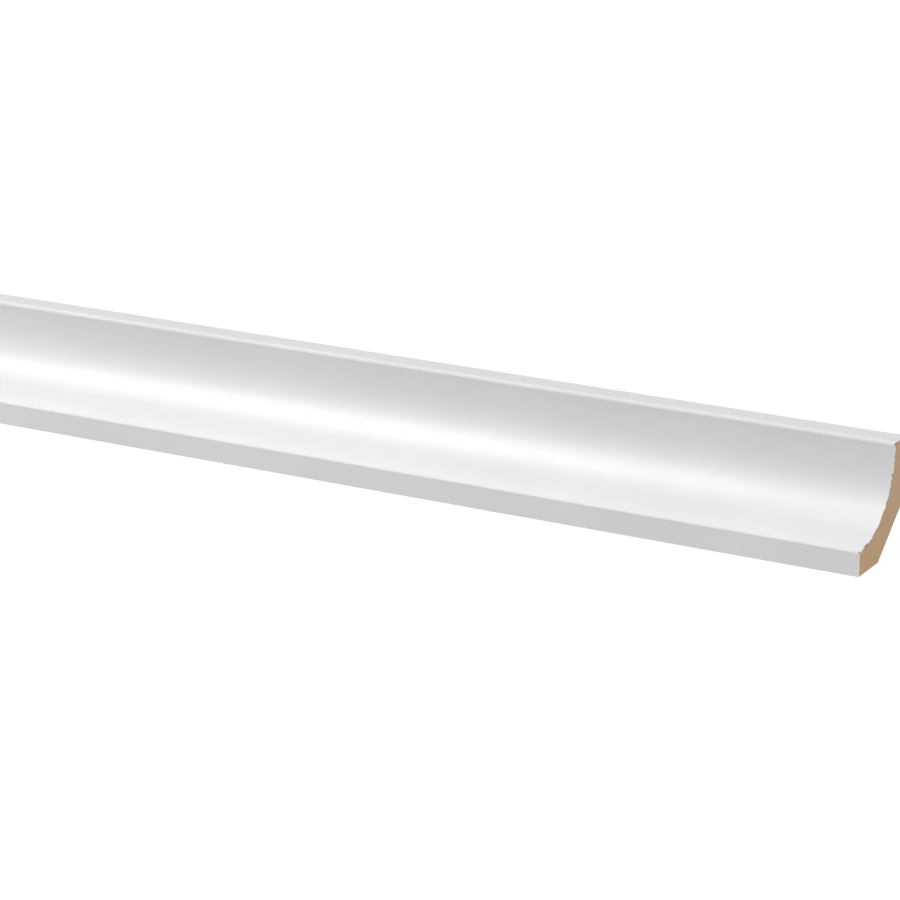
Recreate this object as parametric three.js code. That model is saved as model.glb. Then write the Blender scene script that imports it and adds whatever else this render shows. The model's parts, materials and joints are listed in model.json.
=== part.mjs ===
// A length of white cove moulding, milled from fibreboard and cut square at both ends.
//
// Units are millimetres. +X runs along the moulding, +Y points back to the wall and +Z up.
// The origin is the middle of the upright fixing face, which goes against the wall.
// The hollow front faces -Y and +Z. The other fixing face, the foot, is level and faces down.
import * as THREE from "three";

// The length, and the square that the section fits in
const length = 420;
const sectionDepth = 40;
const sectionHeight = 40;

// The lips that end the cove: an upright face below, a level face on top
const frontLipHeight = 9;
const topLipWidth = 10.4;

// The two fixing faces, which the sloping back joins
const footWidth = 17.5;
const wallFaceHeight = 22;

// A short upright between the end of the cove and the rounded edge of the top lip
const uprightAboveCove = 0.5;

// Edge radii: where the paint rolls over the top lip, the front lip, and the two outer corners
const topEdgeRadius = 1.5;
const lipEdgeRadius = 0.6;
const cornerRadius = 0.4;

// How finely the curves are drawn
const coveSteps = 44;
const edgeSteps = 6;

// What the sizes above leave for the cove. Both are 29 mm here, so that the cove is a quarter circle.
const coveRun = sectionDepth - topLipWidth - lipEdgeRadius;
const coveRise = sectionHeight - frontLipHeight - uprightAboveCove - topEdgeRadius;

// Points along a quarter turn of a circle or an ellipse, both ends included.
// Angles are in quarter turns, counted anticlockwise from the first axis.
function quarterTurn(centre, across, up, firstQuarter, lastQuarter, steps) {
  const points = [];
  for (let step = 0; step <= steps; step++) {
    const turn = firstQuarter + ((lastQuarter - firstQuarter) * step) / steps;
    const angle = (turn * Math.PI) / 2;
    points.push(
      new THREE.Vector2(
        centre.x + across * Math.cos(angle),
        centre.y + up * Math.sin(angle),
      ),
    );
  }
  return points;
}

// The section, seen from the right-hand end and drawn anticlockwise. x is the depth behind the
// face of the front lip and y is the height over the foot.
function sectionOutline() {
  const coveEnd = sectionDepth - topLipWidth;
  return [
    // The foot, up to where the sloping back starts
    new THREE.Vector2(footWidth, 0),
    // The sloping back ends at the wall face
    new THREE.Vector2(sectionDepth, sectionHeight - wallFaceHeight),
    // Top corner at the wall
    ...quarterTurn(
      new THREE.Vector2(sectionDepth - cornerRadius, sectionHeight - cornerRadius),
      cornerRadius,
      cornerRadius,
      0,
      1,
      edgeSteps,
    ),
    // Rounded front edge of the top lip
    ...quarterTurn(
      new THREE.Vector2(coveEnd + topEdgeRadius, sectionHeight - topEdgeRadius),
      topEdgeRadius,
      topEdgeRadius,
      1,
      2,
      edgeSteps,
    ),
    // The cove, from the upright under the top lip down and forward to the front lip
    ...quarterTurn(
      new THREE.Vector2(lipEdgeRadius, frontLipHeight + coveRise),
      coveRun,
      coveRise,
      0,
      -1,
      coveSteps,
    ),
    // Rounded edge of the front lip
    ...quarterTurn(
      new THREE.Vector2(lipEdgeRadius, frontLipHeight - lipEdgeRadius),
      lipEdgeRadius,
      lipEdgeRadius,
      1,
      2,
      edgeSteps,
    ).slice(1),
    // Bottom corner of the front lip
    ...quarterTurn(
      new THREE.Vector2(cornerRadius, cornerRadius),
      cornerRadius,
      cornerRadius,
      2,
      3,
      edgeSteps,
    ),
  ];
}

// The whole moulding is one solid: the section run along the length.
function coveMoulding() {
  const geometry = new THREE.ExtrudeGeometry(new THREE.Shape(sectionOutline()), {
    depth: length,
    bevelEnabled: false,
  });
  const whitePaint = new THREE.MeshStandardMaterial({
    name: "white_painted_fibreboard",
    color: 0xf1f1ef,
    roughness: 0.35,
    metalness: 0,
  });
  const moulding = new THREE.Mesh(geometry, whitePaint);
  moulding.name = "cove_moulding";
  // The section's own x and y become Y and Z, and its extrusion runs along X.
  moulding.rotation.set(Math.PI / 2, Math.PI / 2, 0);
  moulding.position.set(
    -length / 2,
    -sectionDepth,
    wallFaceHeight / 2 - sectionHeight,
  );
  return moulding;
}

const part = new THREE.Group();
part.add(coveMoulding());

export default part;
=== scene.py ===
# A length of white cove moulding: milled fibreboard, satin white on its front, sawn square at both ends.
# Metres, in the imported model's frame: X runs along the moulding, +Y goes into the wall, +Z is up.
import bpy
import bmesh
import json
import math
import random
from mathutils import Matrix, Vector, noise

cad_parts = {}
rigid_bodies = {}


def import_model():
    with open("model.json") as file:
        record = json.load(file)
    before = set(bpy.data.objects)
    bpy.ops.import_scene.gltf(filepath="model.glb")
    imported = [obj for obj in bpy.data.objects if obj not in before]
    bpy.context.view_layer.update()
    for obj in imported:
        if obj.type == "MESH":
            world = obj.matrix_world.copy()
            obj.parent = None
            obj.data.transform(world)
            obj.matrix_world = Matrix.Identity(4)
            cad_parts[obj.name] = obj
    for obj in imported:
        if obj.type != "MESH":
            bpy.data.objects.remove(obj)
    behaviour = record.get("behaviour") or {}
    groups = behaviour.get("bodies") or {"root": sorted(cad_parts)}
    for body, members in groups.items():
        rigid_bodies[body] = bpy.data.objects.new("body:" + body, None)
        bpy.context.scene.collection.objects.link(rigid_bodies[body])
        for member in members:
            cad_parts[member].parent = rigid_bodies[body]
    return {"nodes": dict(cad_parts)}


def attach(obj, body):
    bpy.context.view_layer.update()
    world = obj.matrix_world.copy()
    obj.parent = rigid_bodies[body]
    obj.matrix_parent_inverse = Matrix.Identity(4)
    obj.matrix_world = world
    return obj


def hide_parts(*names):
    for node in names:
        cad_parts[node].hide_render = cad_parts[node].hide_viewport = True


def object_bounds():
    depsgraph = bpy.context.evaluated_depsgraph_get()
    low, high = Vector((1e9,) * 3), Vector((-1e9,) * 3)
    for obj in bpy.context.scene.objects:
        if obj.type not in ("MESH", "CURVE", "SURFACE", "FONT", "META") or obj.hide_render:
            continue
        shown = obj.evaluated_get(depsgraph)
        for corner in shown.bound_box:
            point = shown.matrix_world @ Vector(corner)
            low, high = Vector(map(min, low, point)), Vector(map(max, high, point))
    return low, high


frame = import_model()
cadLow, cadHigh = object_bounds()
print("frame loaded:", len(frame["nodes"]), "node")

mm = 0.001
samePlace = 1e-6                       # points nearer to each other than this are in one place
near = 1e-5                            # and a point this near to an edge or an end belongs to it
halfLength = cadHigh.x                 # the right-hand end is at +halfLength
frontY = cadLow.y                      # face of the front lip
footZ = cadLow.z                       # underside
depth = (cadHigh.y - cadLow.y) / mm    # the square that the section fits in, in millimetres
height = (cadHigh.z - cadLow.z) / mm


def place(across, up):
    # a point of the section, in millimetres behind the front lip and over the foot, as (y, z) in metres
    return frontY + across * mm, footZ + up * mm


# Shader maths

class Field:
    # one socket of a material, so that shader maths reads as ordinary sums
    def __init__(self, shader, socket):
        self.shader = shader
        self.socket = socket

    def maths(self, operation, first, second):
        return self.shader.node("Math", {"operation": operation}, {0: first, 1: second})

    def __add__(self, other):
        return self.maths("ADD", self, other)

    def __radd__(self, other):
        return self.maths("ADD", other, self)

    def __sub__(self, other):
        return self.maths("SUBTRACT", self, other)

    def __rsub__(self, other):
        return self.maths("SUBTRACT", other, self)

    def __mul__(self, other):
        return self.maths("MULTIPLY", self, other)

    def __rmul__(self, other):
        return self.maths("MULTIPLY", other, self)

    def between(self, low, high):
        # 0 below low, 1 above high, and a smooth step from one to the other
        settings = {"interpolation_type": "SMOOTHSTEP"}
        return self.shader.node("MapRange", settings, {"Value": self, "From Min": low, "From Max": high})


class Shader:
    # a material and its nodes
    def __init__(self, name):
        self.material = bpy.data.materials.new(name)
        self.material.use_nodes = True
        self.tree = self.material.node_tree
        self.tree.nodes.clear()

    def node(self, kind, settings=None, inputs=None, output=0):
        made = self.tree.nodes.new("ShaderNode" + kind)
        for name, value in (settings or {}).items():
            setattr(made, name, value)
        for name, value in (inputs or {}).items():
            if isinstance(value, Field):
                self.tree.links.new(value.socket, made.inputs[name])
            else:
                made.inputs[name].default_value = value
        return None if output is None else Field(self, made.outputs[output])

    def noise(self, where, scale, detail=3.0, roughness=0.5, distortion=0.0):
        sizes = {"Scale": scale, "Detail": detail, "Roughness": roughness, "Distortion": distortion}
        return self.node("TexNoise", {}, {"Vector": where, **sizes})

    def mapped(self, where, stretch, turn=(0.0, 0.0, 0.0), shift=(0.0, 0.0, 0.0)):
        inputs = {"Vector": where, "Location": shift, "Rotation": turn, "Scale": stretch}
        return self.node("Mapping", {}, inputs)

    def blend(self, amount, first, second, how="MIX"):
        # colours are mixed here, because a Math node would turn them grey
        settings = {"data_type": "RGBA", "blend_type": how, "clamp_factor": True}
        inputs = {0: amount, 6: first, 7: second}
        return self.node("Mix", settings, inputs, output=2)

    def layer(self, under, over, field, reach, strength=1.0, where=None):
        # lays one tone over another where the field is high, and only so far as where says
        amount = field.between(*reach)
        if where is not None:
            amount = amount * where
        return self.blend(amount * strength, under, over)

    def bump(self, heightField, strength, distance):
        return self.node("Bump", {}, {"Height": heightField, "Strength": strength, "Distance": distance})

    def surface(self, colour, roughness, normal=None, **constants):
        sockets = {"Base Color": colour, "Roughness": roughness}
        if normal is not None:
            sockets["Normal"] = normal
        for name, value in constants.items():
            sockets[name.replace("_", " ").title()] = value
        return self.node("BsdfPrincipled", {}, sockets)

    def output(self, surface):
        self.node("OutputMaterial", {}, {"Surface": surface}, output=None)
        return self.material


# The moulding

moulding = {
    # millimetres
    "frontLip": 9.0,
    "topLip": 10.4,
    "foot": 17.5,
    "wallFace": 22.0,
    "uprightAboveCove": 0.5,
    "topEdgeRadius": 1.5,
    "lipEdgeRadius": 0.6,
    "cornerRadius": 0.4,
    "backArris": 0.35,                 # the sanded edges where the sloping back meets the fixing faces
    "endRim": 0.36,                    # a rim of this width runs round each sawn end
    # how far the white rolls round onto the wall face and the foot, and over what distance it thins out
    "whiteOnWallFace": (1.0, 1.3),
    "whiteOnFoot": (0.9, 1.1),
    "slack": 0.02,                     # this near to a surface counts as on it
    "slopeSlack": 0.42,                # and this near to the sloping back, whose edges are eased
    "smoothUnder": 32,                 # edges flatter than this are shaded smooth, in degrees
    # faces across the section, and columns along the length, closer together near the sawn ends
    "lipSteps": 26,
    "lipEdgeSteps": 6,
    "coveSteps": 130,
    "uprightSteps": 2,
    "topEdgeSteps": 8,
    "cornerSteps": 4,
    "wallSteps": 41,
    "slopeSteps": 56,
    "footSteps": 41,
    "endColumns": (0, 0.13, 0.28, 0.45, 0.65, 0.9, 1.25, 1.7, 2.4, 3.6, 6.0, 11.0),
    "middleColumns": 36,
    "endSmoothing": 12,
}

sawnEnd = {
    "seed": 41,
    "fibreTear": 0.05,                 # how far the saw leaves the fibres unevenly short
    "fibreGrain": 2600,                # and how finely, in waves a metre
    # how thick the white is, seen edge-on at the ends: round the cove and top, and down the front lip
    "coat": 0.28,
    "coatOnLip": 0.8,
    "lipFaceTop": 8.5,                 # the face of the front lip ends at this height
    "coatBlur": 0.3,                   # the white gives way to board over this distance
    "wornLength": 1.2,                 # nothing further from the end than this is touched
    "smallBites": 66,                  # along the white edge of each end, but not down the front lip
    "biteSize": (0.12, 0.60),
    "biteSkew": 2.2,                   # above 1, most of the bites are small
    # a bite is a ball: its middle lies this share of its size off the surface and beyond the end
    "biteOutward": 0.4,
    "biteEndward": 0.35,
    "biteUnevenness": 0.25,
    "biteGrain": 5200,
    "chipShadeFrom": 0.08,               # a point of the end that has moved this far gets painted shade, as in a chip's hollow
    "fullChipShadeAt": 0.3,                     # and one that has moved this far gets the darkest painted chip shade
    "bareAt": 0.09,                    # the white is gone where its surface has moved this far
    # the larger chips: which end, where in the section, and how wide, all in millimetres
    "chips": (
        (1, 6.3, 9.6, 1.05),
        (1, 7.4, 9.8, 0.75),
        (1, 4.6, 9.3, 0.50),
        (1, 0.5, 9.0, 0.70),
        (1, 30.0, 39.7, 1.00),
        (1, 29.5, 35.2, 0.45),
        (1, 27.6, 26.6, 0.45),
        (1, 15.0, 12.6, 0.45),
        (-1, 12.6, 11.6, 0.55),
        (-1, 0.1, 1.2, 0.60),
        (-1, 35.0, 40.0, 0.45),
    ),
}


def columnPlaces():
    fromEnd = [step * mm for step in moulding["endColumns"]]
    left = [-halfLength + step for step in fromEnd]
    gap = (2 * halfLength - 2 * fromEnd[-1]) / moulding["middleColumns"]
    middle = [left[-1] + gap * step for step in range(1, moulding["middleColumns"])]
    return left + middle + [-x for x in reversed(left)]


def pull(across, up, steps):
    # carries the selected edges on in a straight line
    stride = (0, across * mm / steps, up * mm / steps)
    for step in range(steps):
        bpy.ops.mesh.extrude_region_move(TRANSFORM_OT_translate={"value": stride})


def turn(centre, quarter, steps):
    # carries the selected edges on round a quarter circle, 1 for anticlockwise as seen from the right
    y, z = place(*centre)
    bpy.ops.mesh.spin(steps=steps, angle=-quarter * math.pi / 2, center=(0, y, z), axis=(1, 0, 0))


def selectEdges(mesh, wanted):
    bpy.ops.mesh.select_all(action="DESELECT")
    edit = bmesh.from_edit_mesh(mesh)
    for edge in edit.edges:
        if wanted(edge):
            edge.select_set(True)
    bmesh.update_edit_mesh(mesh)


def runSection():
    # the face of the front lip is added as one strip, and its upper edge is carried round the section
    columns = columnPlaces()
    lipRise = moulding["frontLip"] - moulding["cornerRadius"] - moulding["lipEdgeRadius"]
    lipStride = lipRise / moulding["lipSteps"]
    bpy.ops.object.select_all(action="DESELECT")
    bpy.ops.mesh.primitive_grid_add(x_subdivisions=len(columns) - 1, y_subdivisions=1, size=1)
    strip = bpy.context.object
    mesh = strip.data
    for vertex in mesh.vertices:
        column = round((vertex.co.x + 0.5) * (len(columns) - 1))
        upper = vertex.co.y > 0
        y, z = place(0, moulding["cornerRadius"] + (lipStride if upper else 0))
        vertex.co = (columns[column], y, z)
    bpy.ops.object.mode_set(mode="EDIT")
    bpy.ops.mesh.select_mode(type="EDGE")
    topZ = place(0, moulding["cornerRadius"] + 0.5 * lipStride)[1]
    selectEdges(mesh, lambda edge: all(vertex.co.z > topZ for vertex in edge.verts))
    lipEdge = moulding["lipEdgeRadius"]
    topEdge = moulding["topEdgeRadius"]
    corner = moulding["cornerRadius"]
    coveEnd = depth - moulding["topLip"]
    coveTop = height - moulding["uprightAboveCove"] - topEdge
    backRise = height - moulding["wallFace"]
    pull(0, lipRise - lipStride, moulding["lipSteps"] - 1)
    turn((lipEdge, moulding["frontLip"] - lipEdge), -1, moulding["lipEdgeSteps"])
    turn((lipEdge, coveTop), 1, moulding["coveSteps"])
    pull(0, moulding["uprightAboveCove"], moulding["uprightSteps"])
    turn((coveEnd + topEdge, height - topEdge), -1, moulding["topEdgeSteps"])
    pull(moulding["topLip"] - topEdge - corner, 0, moulding["lipSteps"])
    turn((depth - corner, height - corner), -1, moulding["cornerSteps"])
    pull(0, -(moulding["wallFace"] - corner), moulding["wallSteps"])
    pull(-(depth - moulding["foot"]), -backRise, moulding["slopeSteps"])
    pull(-(moulding["foot"] - corner), 0, moulding["footSteps"])
    turn((corner, corner), -1, moulding["cornerSteps"])
    bpy.ops.mesh.select_all(action="SELECT")
    bpy.ops.mesh.remove_doubles(threshold=samePlace)
    return strip


def easeBackArrises(mesh):
    # the two long edges of the sloping back are lightly sanded
    for across, up in ((depth, height - moulding["wallFace"]), (moulding["foot"], 0)):
        y, z = place(across, up)
        selectEdges(mesh, lambda edge: all(math.hypot(v.co.y - y, v.co.z - z) < near for v in edge.verts))
        bpy.ops.mesh.bevel(offset=moulding["backArris"] * mm, segments=2, profile=0.5)


def closeEnd(mesh, side):
    # one face over the open end, a narrow rim inside its edge, and an even grid inside that
    def atEnd(edge):
        return all(abs(vertex.co.x - side * halfLength) < samePlace for vertex in edge.verts)

    selectEdges(mesh, atEnd)
    bpy.ops.mesh.edge_face_add()
    bpy.ops.mesh.select_mode(type="FACE")
    bpy.ops.mesh.inset(thickness=moulding["endRim"] * mm, use_even_offset=True)
    bpy.ops.mesh.delete(type="ONLY_FACE")
    bpy.ops.mesh.select_mode(type="EDGE")
    selectEdges(mesh, lambda edge: edge.is_boundary and atEnd(edge))
    edit = bmesh.from_edit_mesh(mesh)
    y, z = place(moulding["endRim"], moulding["endRim"])
    rim = [vertex for vertex in edit.verts if vertex.select]
    corner = min(rim, key=lambda vertex: math.hypot(vertex.co.y - y, vertex.co.z - z))
    edit.select_history.clear()
    edit.select_history.add(corner)
    bmesh.update_edit_mesh(mesh)
    # the long sides of the grid are the cove with its rounded edges, and the back
    alongCove = ("lipEdgeSteps", "coveSteps", "uprightSteps", "topEdgeSteps")
    longSide = sum(moulding[name] for name in alongCove)
    bpy.ops.mesh.fill_grid(span=longSide, offset=0, use_interp_simple=False)
    # the points inside the grid are evened out, which opens the slivers in its corners
    bpy.ops.mesh.select_mode(type="FACE")
    bpy.ops.mesh.select_less()
    bpy.ops.mesh.vertices_smooth(factor=0.5, repeat=moulding["endSmoothing"])
    bpy.ops.mesh.select_mode(type="EDGE")


def build():
    strip = runSection()
    easeBackArrises(strip.data)
    for side in (-1, 1):
        closeEnd(strip.data, side)
    bpy.ops.mesh.select_all(action="SELECT")
    bpy.ops.mesh.normals_make_consistent(inside=False)
    bpy.ops.object.mode_set(mode="OBJECT")
    strip.name = "whiteCoveMoulding"
    strip.data.name = "whiteCoveMoulding"
    return strip


def backBareness(across, up):
    # 0 on the white side and 1 on bare board. The finish rolls a little way round onto the fixing faces.
    if across > depth - moulding["slack"]:
        rolled, thinning = moulding["whiteOnWallFace"]
        return min(max((height - rolled - up) / thinning, 0), 1)
    if up < moulding["slack"]:
        rolled, thinning = moulding["whiteOnFoot"]
        return min(max((across - rolled) / thinning, 0), 1)
    # what is left is the sloping back with its eased edges, or the white side
    around = moulding["slopeSlack"]
    slope = (height - moulding["wallFace"]) / (depth - moulding["foot"])
    behindFoot = across - moulding["foot"]
    return 1.0 if behindFoot > -around and up < behindFoot * slope + around else 0.0


def underCoat(across, up):
    # how far a point of the section lies behind the white side, in millimetres
    lipEdge = moulding["lipEdgeRadius"]
    coveTop = height - moulding["uprightAboveCove"] - moulding["topEdgeRadius"]
    coveRadius = depth - moulding["topLip"] - lipEdge
    return min(across, height - up, math.hypot(across - lipEdge, up - coveTop) - coveRadius)


def onArris(across, up):
    # 1 on the two rounded edges beside the cove
    lipEdge = moulding["lipEdgeRadius"]
    topEdge = moulding["topEdgeRadius"]
    lipCentre = (lipEdge, moulding["frontLip"] - lipEdge)
    topCentre = (depth - moulding["topLip"] + topEdge, height - topEdge)
    for (centreAcross, centreUp), radius in ((lipCentre, lipEdge), (topCentre, topEdge)):
        if across < centreAcross + moulding["slack"] and up > centreUp - moulding["slack"]:
            if abs(math.hypot(across - centreAcross, up - centreUp) - radius) < moulding["slack"]:
                return 1.0
    return 0.0


def record(mesh, name, values):
    # one number a point, for the material to read
    mesh.attributes.new(name, "FLOAT", "POINT").data.foreach_set("value", values)


def longSidePoints(mesh):
    # the points of the faces that run along the moulding, in the order of those faces
    longSides = (face for face in mesh.polygons if abs(face.normal.x) < 0.5)
    return dict.fromkeys(index for face in longSides for index in face.vertices)


def chooseBites(rims):
    # each bite is its end, its place on the white edge, the way out from there, and its size
    chance = random.Random(sawnEnd["seed"])
    smallest, largest = sawnEnd["biteSize"]
    bites = []
    lipTop = place(0, sawnEnd["lipFaceTop"])[1]
    for side, rim in rims.items():
        aboveLip = [entry for entry in rim if entry[0].z > lipTop]
        for count in range(sawnEnd["smallBites"]):
            spot, outward = chance.choice(aboveLip)
            size = smallest + (largest - smallest) * chance.random() ** sawnEnd["biteSkew"]
            bites.append((side, spot, outward, size * mm))
        for end, across, up, size in sawnEnd["chips"]:
            if end == side:
                y, z = place(across, up)
                spot, outward = min(rim, key=lambda entry: math.hypot(entry[0].y - y, entry[0].z - z))
                bites.append((side, spot, outward, size * mm))
    return bites


def bite(point, start, side, bites):
    # carries a point to the wall of each hollow that reaches it, and no further out than the solid
    for end, spot, outward, size in bites:
        if end != side:
            continue
        beyondEnd = Vector((sawnEnd["biteEndward"] * size * side, 0, 0))
        centre = spot + sawnEnd["biteOutward"] * size * outward + beyondEnd
        away = point.co - centre
        unevenness = sawnEnd["biteUnevenness"] * noise.noise(start * sawnEnd["biteGrain"])
        reach = size * (1 + unevenness)
        if 0 < away.length < reach:
            point.co = centre + away.normalized() * reach
    point.co = [min(max(value, low), high) for value, low, high in zip(point.co, cadLow, cadHigh)]


def wear(piece):
    # what the saw did: bites out of the white edge, fibres left uneven, and bare board behind the finish;
    # the bitten points are also marked for painted shade in the chips' hollows
    mesh = piece.data
    section = [((point.co.y - frontY) / mm, (point.co.z - footZ) / mm) for point in mesh.vertices]
    sides = longSidePoints(mesh)
    rims = {-1: [], 1: []}
    bareness = [1.0] * len(mesh.vertices)
    chipShadeAmounts = [0.0] * len(mesh.vertices)
    for index in sides:
        point = mesh.vertices[index]
        bareness[index] = backBareness(*section[index])
        if abs(point.co.x) > halfLength - near and bareness[index] < 0.5:
            outward = Vector((0, point.normal.y, point.normal.z)).normalized()
            rims[1 if point.co.x > 0 else -1].append((point.co.copy(), outward))
    bites = chooseBites(rims)
    for point in mesh.vertices:
        if abs(point.co.x) <= halfLength - sawnEnd["wornLength"] * mm:
            continue
        index = point.index
        side = 1 if point.co.x > 0 else -1
        start = point.co.copy()
        if index not in sides:
            tear = 0.5 + 0.5 * noise.noise(start * sawnEnd["fibreGrain"])
            point.co.x -= side * sawnEnd["fibreTear"] * mm * tear
            across, up = section[index]
            coat = sawnEnd["coatOnLip"] if up < sawnEnd["lipFaceTop"] else sawnEnd["coat"]
            bareness[index] = min(max((underCoat(across, up) - coat) / sawnEnd["coatBlur"] + 0.5, 0), 1)
        bite(point, start, side, bites)
        moved = (point.co - start).length / mm
        # points that moved are darkened in the material: painted shade in the chips' hollows
        if index in sides or moved > sawnEnd["chipShadeFrom"]:
            chipShadeAmounts[index] = min(moved / sawnEnd["fullChipShadeAt"], 1)
        if index in sides:
            bareness[index] = max(bareness[index], min(moved / sawnEnd["bareAt"], 1))
    record(mesh, "bare", bareness)
    record(mesh, "paintedChipShade", chipShadeAmounts)
    record(mesh, "behindCoat", [max(underCoat(across, up), 0) for across, up in section])
    record(mesh, "rubbedArris", [onArris(across, up) for across, up in section])
    mesh.update()


# Finishes

finish = {
    "white": (0.768, 0.768, 0.772, 1),
    "whiteThin": (0.70, 0.695, 0.685, 1),
    "sheenRoughness": 0.36,
    "arrisDulling": 0.34,              # the rounded edges are rubbed duller
    "board": (0.645, 0.435, 0.255, 1),
    "boardRed": (0.69, 0.385, 0.235, 1),
    "boardPale": (0.60, 0.46, 0.31, 1),
    "boardOchre": (0.66, 0.45, 0.22, 1),
    "boardGrey": (0.46, 0.37, 0.245, 1),
    "fibre": (0.78, 0.59, 0.38, 1),
    # dark fibre specks and saw marks, and also the painted shade that darkens the chips' hollows
    "speckAndChipShade": (0.17, 0.09, 0.045, 1),
    "grainShade": (0.62, 0.62, 0.62, 1),
    "boardRoughness": 0.9,
    # the border between white and board: how ragged it is, finely and coarsely, and where it lies
    "raggedness": (0.55, 0.35),
    "bareBetween": (0.42, 0.56),
    # the white: where it is cloudy, how even it is, how thin where it is rubbed, how its sheen varies
    "cloudy": (0.3, 0.7),
    "evenness": 0.72,
    "rubbedThin": (0.35, 0.4),
    "sheenVaries": 0.05,
    # the board: heights over the foot between which its colour changes, in millimetres
    "ochreBelow": (2, 13),
    "paleAbove": (31, 38),
    "paleness": 0.6,
    "greyEdge": (0.2, 1.5),            # it is denser and greyer this close behind the white
    "greyness": (0.5, 0.6),
    "backFrom": (4.0, 6.5),            # and this far behind it, only the back has the cutter's marks
    # layers on the board: the part of a noise's range over which each comes in, and how strongly
    "redPatches": ((0.44, 0.6), 0.65),
    "greyMottle": ((0.48, 0.7), 0.6),
    "paleStrands": ((0.5, 0.72), 0.6),
    "darkSpecks": ((0.63, 0.72), 0.75),
    "bladeMarks": ((0.6, 1.0), 0.035),
    "cutterMarks": ((0.52, 0.75), 0.3),
    "fineGrain": (0.25, 0.75),
    "plainness": 0.2,                  # and all of them are calmed by this much of the plain colour
    # painted shade in the chips' hollows: how far towards the dark speck colour they go
    "chipShadeStrength": 0.7,
    # noises: waves in a metre, detail, roughness and distortion
    "noises": {
        "ragged": (2300, 4.0, 0.65),
        "coarse": (620, 2.0, 0.5),
        "cloud": (34, 3.0, 0.5),
        "peel": (900, 2.0, 0.45),
        "mist": (5200, 2.0, 0.5),
        "mottle": (760, 5.0, 0.68, 0.6),
        "grain": (3300, 4.0, 0.7),
        "specks": (1700, 3.0, 0.75),
        "patches": (190, 2.0, 0.5, 0.4),
    },
    # and noises that are drawn out: waves in a metre along each axis, then the noise
    "cutterLines": (6.0, 320.0, 320.0),
    "cutterNoise": (1.0, 3.0, 0.6),
    "strands": (700.0, 5200.0, 1500.0),
    "strandLean": (0.5, 0.0, 0.0),
    "strandNoise": (1.0, 4.0, 0.6, 1.2),
    # the blade's arcs cross the ends, and the cutter's ripple crosses the back
    "bladeCentre": (0.0, 0.10, 0.13),
    "bladeArcs": {"Scale": 230.0, "Distortion": 2.5, "Detail": 2.0, "Detail Scale": 0.6},
    "cutterRipple": {"Scale": 190.0, "Distortion": 0.6, "Detail": 1.0},
    # how much each adds to the relief of the board and of the paint
    "relief": {"grain": 0.6, "strands": 0.7, "mottle": 0.5, "arcs": 0.14, "ripple": 0.3},
    "drawLines": 0.6,
    # bumps: strength, and height in metres
    "boardBump": (0.55, 0.00012),
    "whiteBump": (0.24, 0.00006),
}


def paintedSurface(shader, fields, along):
    # white: very faint cloudiness, and a roller's or spray's fine orange peel
    cloud = fields["cloud"]
    rubbed = fields["rubbedArris"]
    thin, thinInClouds = finish["rubbedThin"]
    varies = finish["sheenVaries"]
    white = shader.blend(cloud.between(*finish["cloudy"]), finish["white"], finish["whiteThin"])
    white = shader.blend(finish["evenness"], white, finish["white"])
    white = shader.blend(rubbed * (thin + thinInClouds * cloud), white, finish["whiteThin"])
    roughness = finish["sheenRoughness"] + (cloud - 0.5) * varies + (fields["mist"] - 0.5) * varies
    roughness = roughness + rubbed * finish["arrisDulling"]
    normal = shader.bump(fields["peel"] + along * finish["drawLines"], *finish["whiteBump"])
    return shader.surface(white, roughness, normal)


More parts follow.
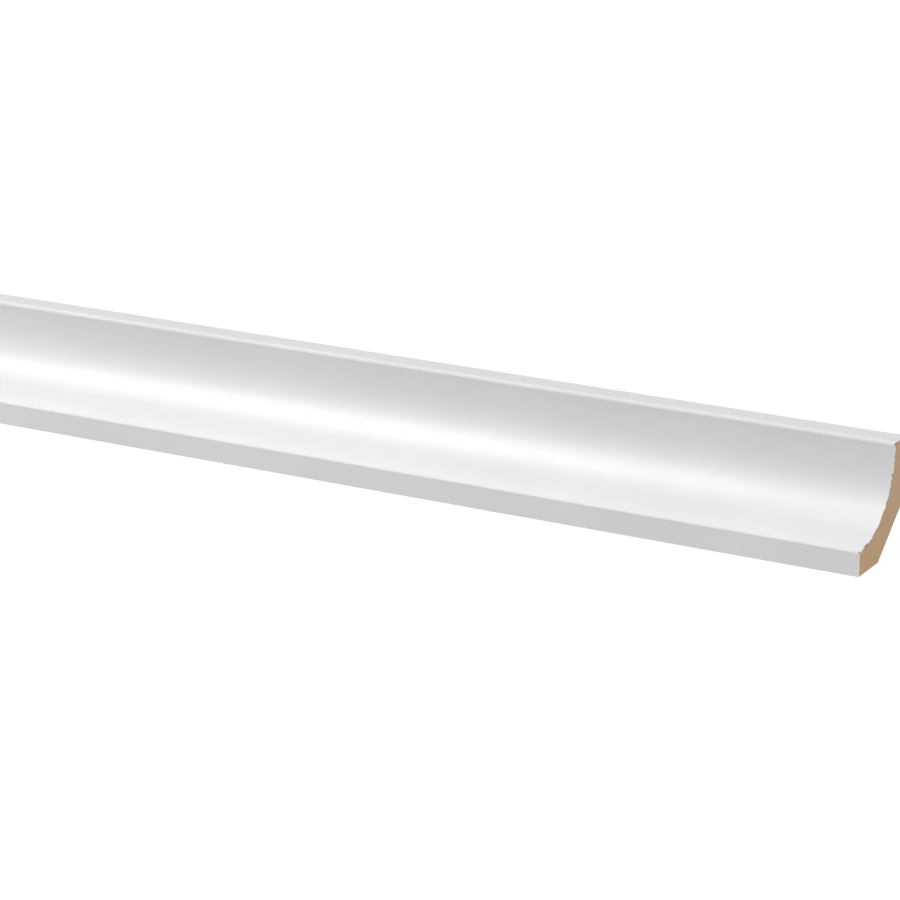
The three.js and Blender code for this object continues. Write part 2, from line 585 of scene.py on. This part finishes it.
def sawnSurface(shader, fields, along):
    # bare board: mottled fibre, paler strands, dark specks, denser and greyer towards its faces, and
    # painted shade darkening the chips
    where = fields["where"]
    mottle = fields["mottle"]
    level = shader.node("SeparateXYZ", {}, {"Vector": where}, output=2)
    ochreFrom, ochreTo = finish["ochreBelow"]
    paleFrom, paleTo = finish["paleAbove"]
    greyness, greynessInMottle = finish["greyness"]
    upperPart = level.between(footZ + ochreFrom * mm, footZ + ochreTo * mm)
    topPart = level.between(footZ + paleFrom * mm, footZ + paleTo * mm)
    strandSpace = shader.mapped(where, finish["strands"], finish["strandLean"])
    strands = shader.noise(strandSpace, *finish["strandNoise"])
    greyEdge = 1 - fields["behindCoat"].between(*finish["greyEdge"])
    tone = shader.blend(upperPart, finish["boardOchre"], finish["board"])
    tone = shader.blend(topPart * finish["paleness"], tone, finish["boardPale"])
    tone = shader.layer(tone, finish["boardRed"], fields["patches"], *finish["redPatches"])
    tone = shader.layer(tone, finish["boardGrey"], mottle, *finish["greyMottle"])
    tone = shader.blend(greyEdge * (greyness + greynessInMottle * mottle), tone, finish["boardGrey"])
    tone = shader.layer(tone, finish["fibre"], strands, *finish["paleStrands"])
    tone = shader.layer(tone, finish["speckAndChipShade"], fields["specks"], *finish["darkSpecks"])
    fineGrain = fields["grain"].between(*finish["fineGrain"])
    tone = shader.blend(fineGrain, tone, finish["grainShade"], "MULTIPLY")
    tone = shader.blend(finish["plainness"], tone, finish["board"])
    # painted shade: the chips' hollows are darkened in the colour itself
    tone = shader.blend(fields["paintedChipShade"] * finish["chipShadeStrength"], tone, finish["speckAndChipShade"])

    # saw marks cross the ends in shallow arcs, and the cutter's run the length of the back
    bladeSpace = shader.mapped(where, (0.0, 1.0, 1.0), shift=finish["bladeCentre"])
    rings = {"wave_type": "RINGS", "rings_direction": "X"}
    arcs = shader.node("TexWave", rings, {"Vector": bladeSpace, **finish["bladeArcs"]}, output=1)
    bands = {"bands_direction": "X"}
    ripple = shader.node("TexWave", bands, {"Vector": where, **finish["cutterRipple"]}, output=1)
    onBack = fields["behindCoat"].between(*finish["backFrom"])
    tone = shader.layer(tone, finish["boardGrey"], along, *finish["cutterMarks"], where=onBack)
    tone = shader.layer(tone, finish["speckAndChipShade"], arcs, *finish["bladeMarks"])
    relief = finish["relief"]
    fibres = fields["grain"] * relief["grain"] + strands * relief["strands"] + mottle * relief["mottle"]
    rough = fibres + arcs * relief["arcs"] + ripple * relief["ripple"] * onBack
    normal = shader.bump(rough, *finish["boardBump"])
    return shader.surface(tone, finish["boardRoughness"], normal)


def whiteFinish():
    # Satin white over milled fibreboard. The mesh says where the board is bare.
    shader = Shader("satinWhiteOnFibreboard")
    where = shader.node("TexCoord", {}, {}, output=3)
    fields = {"where": where}
    for name in ("bare", "paintedChipShade", "behindCoat", "rubbedArris"):
        fields[name] = shader.node("Attribute", {"attribute_name": name}, {}, output=2)
    for name, sizes in finish["noises"].items():
        fields[name] = shader.noise(where, *sizes)
    along = shader.noise(shader.mapped(where, finish["cutterLines"]), *finish["cutterNoise"])
    fine, coarse = finish["raggedness"]
    ragged = (fields["ragged"] - 0.5) * fine
    wandering = (fields["coarse"] - 0.5) * coarse
    board = (fields["bare"] + ragged + wandering).between(*finish["bareBetween"])
    painted = paintedSurface(shader, fields, along)
    sawn = sawnSurface(shader, fields, along)
    return shader.output(shader.node("MixShader", {}, {0: board, 1: painted, 2: sawn}))


# Floor, lights and camera

studio = {
    "floorSize": 9.0,
    # a light table: the floor is lit from below, so that hardly a shadow shows on it
    "floorTone": (0.07, 0.07, 0.07, 1),
    "floorRoughness": 0.9,
    "floorGlow": (0.955, 0.955, 0.955, 1),
    "farFloorGlow": (1.01, 1.01, 1.01, 1),
    "glowFrom": 0.2,                   # it is a little brighter away from the moulding, in metres
    "glowTo": 0.9,
    "worldGlow": 0.025,
    "backdrop": (4.2, 7.0, 96),        # radius, height and sides of the white wall round the floor
    # softboxes, aimed at the moulding: bearing and height in degrees, distance and width in metres, watts
    "softboxes": (
        ("softboxLeft", -146, 54.7, 2.2, 1.05, 33.5),
        ("softboxFront", -115, 45, 2.2, 1.2, 2.2),
        ("softboxAbove", 0, 90, 2.2, 0.9, 21.8),
        ("softboxBehind", 90, 45, 2.2, 1.2, 3.0),
        ("softboxRight", 15, 20, 2.2, 1.2, 12.0),
    ),
    "cameraPlace": (0.61156, -1.03261, 0.35219),
    "cameraTurn": (72.4602, 0, 29.4914),
    "lens": 132.25,
    "sensor": 36,
    "clip": (0.01, 50),
}


def paleFloor():
    bpy.ops.object.select_all(action="DESELECT")
    bpy.ops.mesh.primitive_plane_add(size=studio["floorSize"], location=(0, 0, footZ))
    bpy.ops.object.transform_apply(location=True, rotation=False, scale=False)
    floor = bpy.context.object
    floor.name = "paleFloor"
    shader = Shader("paleFloor")
    where = shader.node("TexCoord", {}, {}, output=3)
    away = shader.node("VectorMath", {"operation": "LENGTH"}, {0: where}, output=1)
    away = away.between(studio["glowFrom"], studio["glowTo"])
    glow = shader.blend(away, studio["floorGlow"], studio["farFloorGlow"])
    lit = shader.surface(
        studio["floorTone"],
        studio["floorRoughness"],
        emission_color=glow,
        emission_strength=1.0,
    )
    floor.data.materials.append(shader.output(lit))


def whiteBackdrop():
    # a plain wall round the floor, for the camera alone, so that low views have white behind them too
    radius, rise, sides = studio["backdrop"]
    bpy.ops.object.select_all(action="DESELECT")
    bpy.ops.mesh.primitive_cylinder_add(vertices=sides, radius=radius, depth=rise, end_fill_type="NOTHING")
    wall = bpy.context.object
    wall.name = "whiteBackdrop"
    shader = Shader("whiteBackdrop")
    lit = shader.surface(
        studio["floorTone"],
        studio["floorRoughness"],
        emission_color=studio["farFloorGlow"],
        emission_strength=1.0,
    )
    wall.data.materials.append(shader.output(lit))
    wall.visible_diffuse = False
    wall.visible_glossy = False
    wall.visible_shadow = False


def softLight():
    world = bpy.data.worlds.new("studio")
    world.use_nodes = True
    background = world.node_tree.nodes["Background"]
    background.inputs["Color"].default_value = (1, 1, 1, 1)
    background.inputs["Strength"].default_value = studio["worldGlow"]
    bpy.context.scene.world = world
    for name, bearing, lift, distance, width, watts in studio["softboxes"]:
        turned = math.radians(bearing)
        raised = math.radians(lift)
        level = math.cos(raised)
        direction = Vector((math.cos(turned) * level, math.sin(turned) * level, math.sin(raised)))
        bpy.ops.object.light_add(type="AREA", location=direction * distance)
        softbox = bpy.context.object
        softbox.name = name
        softbox.rotation_euler = direction.to_track_quat("Z", "Y").to_euler()
        softbox.data.size = width
        softbox.data.energy = watts


def pointCamera():
    bpy.ops.object.camera_add(location=studio["cameraPlace"])
    camera = bpy.context.object
    camera.name = "photoCamera"
    camera.rotation_euler = [math.radians(angle) for angle in studio["cameraTurn"]]
    camera.data.sensor_width = studio["sensor"]
    camera.data.lens = studio["lens"]
    camera.data.clip_start, camera.data.clip_end = studio["clip"]
    bpy.context.scene.camera = camera


pointCamera()
cove = build()
print("moulding drawn:", len(cove.data.vertices), "points,", len(cove.data.polygons), "faces")
wear(cove)
bpy.ops.object.select_all(action="DESELECT")
cove.select_set(True)
bpy.context.view_layer.objects.active = cove
bpy.ops.object.shade_smooth_by_angle(angle=math.radians(moulding["smoothUnder"]))
print("ends worn")
cove.data.materials.append(whiteFinish())
print("finish made")
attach(cove, "root")
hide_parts("cove_moulding")
paleFloor()
whiteBackdrop()
softLight()
bpy.context.scene.view_settings.view_transform = "Standard"
print("studio set")
